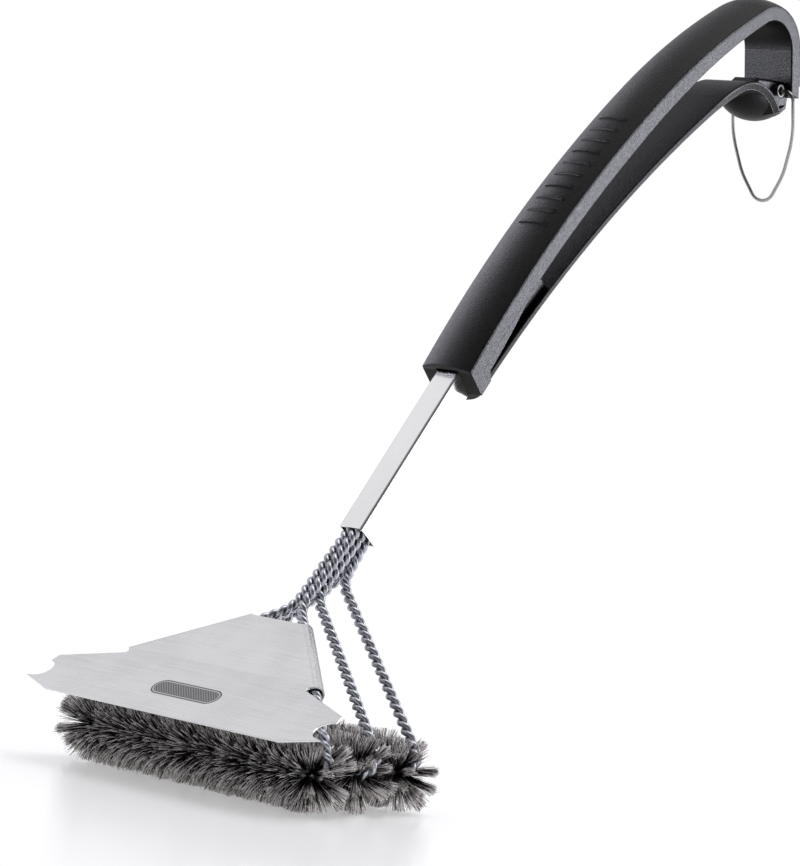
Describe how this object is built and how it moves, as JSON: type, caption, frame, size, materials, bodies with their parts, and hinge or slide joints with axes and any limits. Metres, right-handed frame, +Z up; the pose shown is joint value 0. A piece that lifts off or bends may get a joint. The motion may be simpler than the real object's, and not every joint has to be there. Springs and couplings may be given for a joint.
{
  "type": "grill cleaning brush",
  "caption": "Grill brush with steel bristle rows on twisted wire loops, a notched scraper plate, a square ferrule, a looped grip and a hanging ring.",
  "frame": {"origin": "on the surface the bristles stand on, under the centre of the middle bristle row", "axes": "X across the width, +Y from the scraper blade towards the handle, +Z up from the surface the bristle rows stand on"},
  "size_m": [0.19, 0.4077, 0.4082],
  "materials": {
    "handle_plastic": "fine moulded texture",
    "grip_rubber": "matte soft touch",
    "ferrule_steel": "brushed lengthwise",
    "pin_steel": "plain",
    "wire_steel": "drawn wire, satin",
    "bristle_steel": "fine steel filaments",
    "plate_steel": "fine brushed",
    "eyelet_steel": "polished",
    "ring_steel": "bright drawn wire"
  },
  "bodies": {
    "brush": {"handle_frame": "handle_plastic", "grip_cover": "grip_rubber", "ferrule_tube": "ferrule_steel", "ferrule_cross_pin": "pin_steel", "front_wire_strand_a": "wire_steel", "front_wire_strand_b": "wire_steel", "middle_wire_strand_a": "wire_steel", "middle_wire_strand_b": "wire_steel", "rear_wire_strand_a": "wire_steel", "rear_wire_strand_b": "wire_steel", "front_bristle_row": "bristle_steel", "middle_bristle_row": "bristle_steel", "rear_bristle_row": "bristle_steel", "scraper_plate": "plate_steel", "ring_eyelet": "eyelet_steel"},
    "ring": {"hanging_ring": "ring_steel"}
  },
  "joints": [
    {"name": "ring_swing", "type": "hinge", "parent": "brush", "child": "ring", "pos_m": [0, 0.3356, 0.3621], "axis": [1, 0, 0], "range_deg": [-70, 160]}
  ]
}
